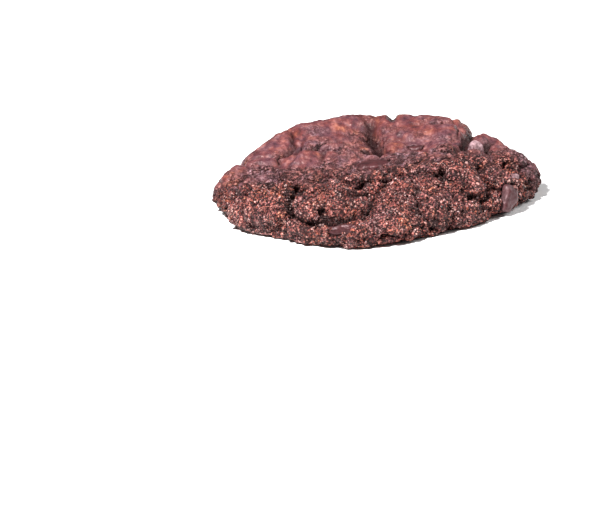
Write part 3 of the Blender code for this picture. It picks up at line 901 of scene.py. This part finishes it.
def scatter_tree():
    """A tree that scatters a grain over a surface by its crumb attribute, and its inputs' names."""
    tree = bpy.data.node_groups.new("scattered crumb", "GeometryNodeTree")
    graph = Graph(tree)
    sockets = {}
    wanted = [
        ("Surface", "NodeSocketGeometry"),
        ("Grain", "NodeSocketObject"),
        ("Size", "NodeSocketFloat"),
        ("Spread", "NodeSocketFloat"),
        ("Density", "NodeSocketFloat"),
        ("Least Distance", "NodeSocketFloat"),
        ("Seed", "NodeSocketInt"),
        ("Material", "NodeSocketMaterial"),
    ]
    for name, kind in wanted:
        sockets[name] = tree.interface.new_socket(name, in_out="INPUT", socket_type=kind)
    tree.interface.new_socket("Crumb", in_out="OUTPUT", socket_type="NodeSocketGeometry")
    given = graph.node("NodeGroupInput", {}, {}).outputs
    share = graph.node(
        "GeometryNodeInputNamedAttribute",
        {"data_type": "FLOAT"},
        {"Name": "crumb"},
    ).outputs[0]
    points = graph.node(
        "GeometryNodeDistributePointsOnFaces",
        {"distribute_method": "POISSON"},
        {
            "Mesh": given["Surface"],
            "Distance Min": given["Least Distance"],
            "Density Max": given["Density"],
            "Density Factor": share,
            "Seed": given["Seed"],
        },
    ).outputs["Points"]
    grain = graph.node("GeometryNodeObjectInfo", {}, {"Object": given["Grain"]}).outputs["Geometry"]
    turn = graph.node(
        "FunctionNodeRandomValue",
        {"data_type": "FLOAT_VECTOR"},
        {0: (0.0, 0.0, 0.0), 1: (2.0 * math.pi,) * 3, "Seed": given["Seed"]},
    ).outputs[0]
    smallest = graph.maths("SUBTRACT", given["Size"], given["Spread"])
    largest = graph.maths("ADD", given["Size"], given["Spread"])
    size = graph.node(
        "FunctionNodeRandomValue",
        {"data_type": "FLOAT"},
        {2: smallest, 3: largest, "Seed": given["Seed"]},
    ).outputs[1]
    placing = {"Points": points, "Instance": grain, "Rotation": turn, "Scale": size}
    scattered = graph.node("GeometryNodeInstanceOnPoints", {}, placing).outputs[0]
    tone = graph.node(
        "FunctionNodeRandomValue",
        {"data_type": "FLOAT"},
        {2: 0.0, 3: 1.0, "Seed": TONE_SEED},
    ).outputs[1]
    toned = graph.node(
        "GeometryNodeStoreNamedAttribute",
        {"data_type": "FLOAT", "domain": "INSTANCE"},
        {"Geometry": scattered, "Name": "tone", "Value": tone},
    ).outputs[0]
    real = graph.node("GeometryNodeRealizeInstances", {}, {"Geometry": toned}).outputs[0]
    painting = {"Geometry": real, "Material": given["Material"]}
    painted = graph.node("GeometryNodeSetMaterial", {}, painting).outputs[0]
    graph.node("NodeGroupOutput", {}, {0: painted})
    return tree, {name: socket.identifier for name, socket in sockets.items()}


def crumb_material():
    """Grains that are mostly dark, with a few paler and glossier ones."""
    made, graph, shader = new_material("loose crumb")
    tone = graph.attribute("tone")
    colour = graph.ramp(tone, CRUMB_TONES)
    colour = graph.mixed(1.0, colour, graph.ramp(graph.noise(*CRUMB_TINTS), TINTS), "MULTIPLY")
    speck = graph.kept_within(graph.noise(*CRUMB_SPECKS), 0.35, 0.65, 0.55, 1.25)
    colour = graph.mixed(1.0, colour, graph.ramp(speck * 0.8, GREYS), "MULTIPLY")
    graph.feed(shader.inputs["Base Color"], colour)
    graph.feed(shader.inputs["Roughness"], graph.kept_within(tone, 0.3, 1.0, 0.45, 0.16))
    graph.feed(shader.inputs["Normal"], graph.bump(graph.noise(*CRUMB_RELIEF), 0.12, 0.6))
    return made


crumb_share = np.clip((dough_looks["coarse"] - CRUMB_FROM) / CRUMB_SPAN, 0.0, 1.0) ** 2
crumb_share *= (1.0 - dough_looks["pocket"]) * (1.0 - dough_looks["crack"])
crumb_share *= np.clip((dough_points[:, 2] - CRUMB_LEVEL) / CRUMB_RISE, 0.0, 1.0)
set_attribute(dough.data, "crumb", crumb_share)
crumb_tree, crumb_inputs = scatter_tree()
loose_crumb = crumb_material()


def scattered_crumb(name, size, spread, density, least_distance, seed):
    """All grains of one kind as one mesh piece."""
    grain = grain_object(name + "_grain", seed)
    scatter = dough.modifiers.new(name, "NODES")
    scatter.node_group = crumb_tree
    values = {
        "Grain": grain,
        "Size": size * MM,
        "Spread": spread * MM,
        "Density": density / MM**2,
        "Least Distance": least_distance * MM,
        "Seed": seed,
        "Material": loose_crumb,
    }
    for key, value in values.items():
        scatter[crumb_inputs[key]] = value
    graph = bpy.context.evaluated_depsgraph_get()
    mesh = bpy.data.meshes.new_from_object(dough.evaluated_get(graph))
    dough.modifiers.remove(scatter)
    bpy.data.objects.remove(grain)
    mesh.name = name
    piece = bpy.data.objects.new(name, mesh)
    bpy.context.scene.collection.objects.link(piece)
    return piece


for kind in CRUMB_KINDS:
    crumb = scattered_crumb(*kind)
    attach(crumb, "root")


# Chocolate chips: smooth dark chunks that softened in the oven and set again, with a skin that
# is half glossy and a little uneven. Each is made from its CAD solid, rounded once more.

CHIP_ROUNDING = 2
# how deep the skin's dents are, and how wide
CHIP_DENTS = 0.22
CHIP_DENT_SIZE = 2.2
# points of a solid that lie nearer to each other than this are one point
CHIP_MERGE = 0.01
CHOCOLATE_TONES = [
    (0.3, (0.022, 0.006, 0.007, 1.0)),
    (0.7, (0.068, 0.018, 0.020, 1.0)),
]
CHOCOLATE_PATCHES = (2.5, 3.0)
# patches of pale bloom and painted highlight
BLOOM_AND_GLINT_PATCHES = (1.4, 4.0, 0.7)
POLISH_PATCHES = (1.2, 3.0)
CHOCOLATE_RELIEF = (0.9, 3.0)
CHOCOLATE_SPECULAR = 0.35
CHOCOLATE_SPECULAR_TINT = (1.0, 0.72, 0.74, 1.0)
# the pale bloom that some chips have, and how much of it; on chip_2 and chip_8 it is also a painted
# highlight
BLOOM_AND_GLINT_COLOUR = (0.420, 0.270, 0.290, 1.0)
CHIP_BLOOM_AND_GLINT = {"chip_2": 0.9, "chip_3": 0.12, "chip_8": 0.5}


def chocolate_material():
    """Dark chocolate, with pale bloom in patches where a chip has it, partly a painted highlight."""
    made, graph, shader = new_material("dark chocolate")
    colour = graph.ramp(graph.noise(*CHOCOLATE_PATCHES), CHOCOLATE_TONES)
    # the pale patches are partly bloom and partly a painted highlight
    bloom_and_glint_share = graph.attribute("bloom") * graph.kept_within(graph.noise(*BLOOM_AND_GLINT_PATCHES), 0.35, 0.6)
    graph.feed(shader.inputs["Base Color"], graph.mixed(bloom_and_glint_share, colour, BLOOM_AND_GLINT_COLOUR))
    polish = graph.kept_within(graph.noise(*POLISH_PATCHES), 0.3, 0.7, 0.3, 0.5)
    graph.feed(shader.inputs["Roughness"], polish)
    shader.inputs["Specular IOR Level"].default_value = CHOCOLATE_SPECULAR
    shader.inputs["Specular Tint"].default_value = CHOCOLATE_SPECULAR_TINT
    graph.feed(shader.inputs["Normal"], graph.bump(graph.noise(*CHOCOLATE_RELIEF), 0.4, 0.7))
    return made


def chip_piece(node):
    """The chip's own solid, merged, rounded and dented."""
    mesh = node.data.copy()
    mesh.materials.clear()
    shape = bmesh.new()
    shape.from_mesh(mesh)
    bmesh.ops.remove_doubles(shape, verts=shape.verts, dist=CHIP_MERGE * MM)
    shape.to_mesh(mesh)
    shape.free()
    piece = bpy.data.objects.new(node.name + "_chocolate", mesh)
    bpy.context.scene.collection.objects.link(piece)
    rounding = piece.modifiers.new("rounding", "SUBSURF")
    rounding.levels = CHIP_ROUNDING
    rounding.render_levels = CHIP_ROUNDING
    graph = bpy.context.evaluated_depsgraph_get()
    rounded = bpy.data.meshes.new_from_object(piece.evaluated_get(graph))
    piece.modifiers.remove(rounding)
    piece.data = rounded
    normals = [vert.normal.copy() for vert in rounded.vertices]
    for vert, normal in zip(rounded.vertices, normals):
        vert.co += normal * CHIP_DENTS * MM * noise.noise(vert.co / (CHIP_DENT_SIZE * MM))
    rounded.shade_smooth()
    return piece


dark_chocolate = chocolate_material()
for chip_name in CHIP_NAMES:
    chip = chip_piece(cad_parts[chip_name])
    # how much pale bloom and painted highlight this chip gets
    bloom = np.full(len(chip.data.vertices), CHIP_BLOOM_AND_GLINT.get(chip_name, 0.0))
    set_attribute(chip.data, "bloom", bloom)
    chip.data.materials.append(dark_chocolate)
    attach(chip, "root")
    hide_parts(chip_name)


# The studio: a pale floor, a white surround and two soft lights. The main light is small and
# stands high on the near left, and a larger, weaker one fills in from the right. Their sizes and
# places are in metres.

FLOOR_SIZE = 4.0
FLOOR_COLOUR = (0.90, 0.90, 0.90, 1.0)
FLOOR_ROUGHNESS = 0.8
SURROUND = 0.14


def studio_floor():
    shape = bmesh.new()
    bmesh.ops.create_grid(shape, x_segments=1, y_segments=1, size=FLOOR_SIZE / 2.0)
    mesh = bpy.data.meshes.new("studio_floor")
    shape.to_mesh(mesh)
    shape.free()
    floor = bpy.data.objects.new("studio_floor", mesh)
    bpy.context.scene.collection.objects.link(floor)
    made, _, shader = new_material("pale floor")
    shader.inputs["Base Color"].default_value = FLOOR_COLOUR
    shader.inputs["Roughness"].default_value = FLOOR_ROUGHNESS
    mesh.materials.append(made)
    return floor


def soft_light(name, place, size, power):
    """A square light of this size, turned towards the middle of the floor."""
    light = bpy.data.lights.new(name, "AREA")
    light.size = size
    light.energy = power
    obj = bpy.data.objects.new(name, light)
    obj.location = place
    obj.rotation_euler = (-Vector(place)).to_track_quat("-Z", "Y").to_euler()
    bpy.context.scene.collection.objects.link(obj)


studio_floor()
soft_light("main_light", (-0.19, -0.16, 0.45), 0.08, 7.5)
soft_light("fill_light", (0.42, 0.12, 0.34), 0.30, 2.0)

surround = bpy.data.worlds.new("white surround")
surround.use_nodes = True
surround.node_tree.nodes["Background"].inputs["Color"].default_value = (1.0, 1.0, 1.0, 1.0)
surround.node_tree.nodes["Background"].inputs["Strength"].default_value = SURROUND
bpy.context.scene.world = surround
bpy.context.scene.view_settings.view_transform = "Standard"


# The camera: a long lens from a little above, rolled so that the cookie's right side shows
# higher. The cookie's middle shows at this place of a picture of 600 by 505 pixels.

PICTURE_WIDTH = 600
PICTURE_HEIGHT = 505
PIXELS_PER_MM = 3.9
MIDDLE_PIXEL = (377, 200)
CAMERA_DISTANCE = 0.8
CAMERA_RISE = math.radians(17.5)
CAMERA_ROLL = math.radians(4.0)
SENSOR_WIDTH = 36.0

lens = bpy.data.cameras.new("camera")
lens.sensor_width = SENSOR_WIDTH
lens.lens = PIXELS_PER_MM * CAMERA_DISTANCE / MM * SENSOR_WIDTH / PICTURE_WIDTH
camera = bpy.data.objects.new("camera", lens)
bpy.context.scene.collection.objects.link(camera)
backwards = Vector((0.0, -math.cos(CAMERA_RISE), math.sin(CAMERA_RISE)))
level = Vector((1.0, 0.0, 0.0))
upright = backwards.cross(level)
right = level * math.cos(CAMERA_ROLL) - upright * math.sin(CAMERA_ROLL)
upwards = upright * math.cos(CAMERA_ROLL) + level * math.sin(CAMERA_ROLL)
sideways_mm = (MIDDLE_PIXEL[0] - PICTURE_WIDTH / 2.0) / PIXELS_PER_MM
upwards_mm = (PICTURE_HEIGHT / 2.0 - MIDDLE_PIXEL[1]) / PIXELS_PER_MM
aim = -(right * sideways_mm + upwards * upwards_mm) * MM
turned = Matrix((right, upwards, backwards)).transposed().to_4x4()
camera.matrix_world = Matrix.Translation(aim + backwards * CAMERA_DISTANCE) @ turned
bpy.context.scene.camera = camera
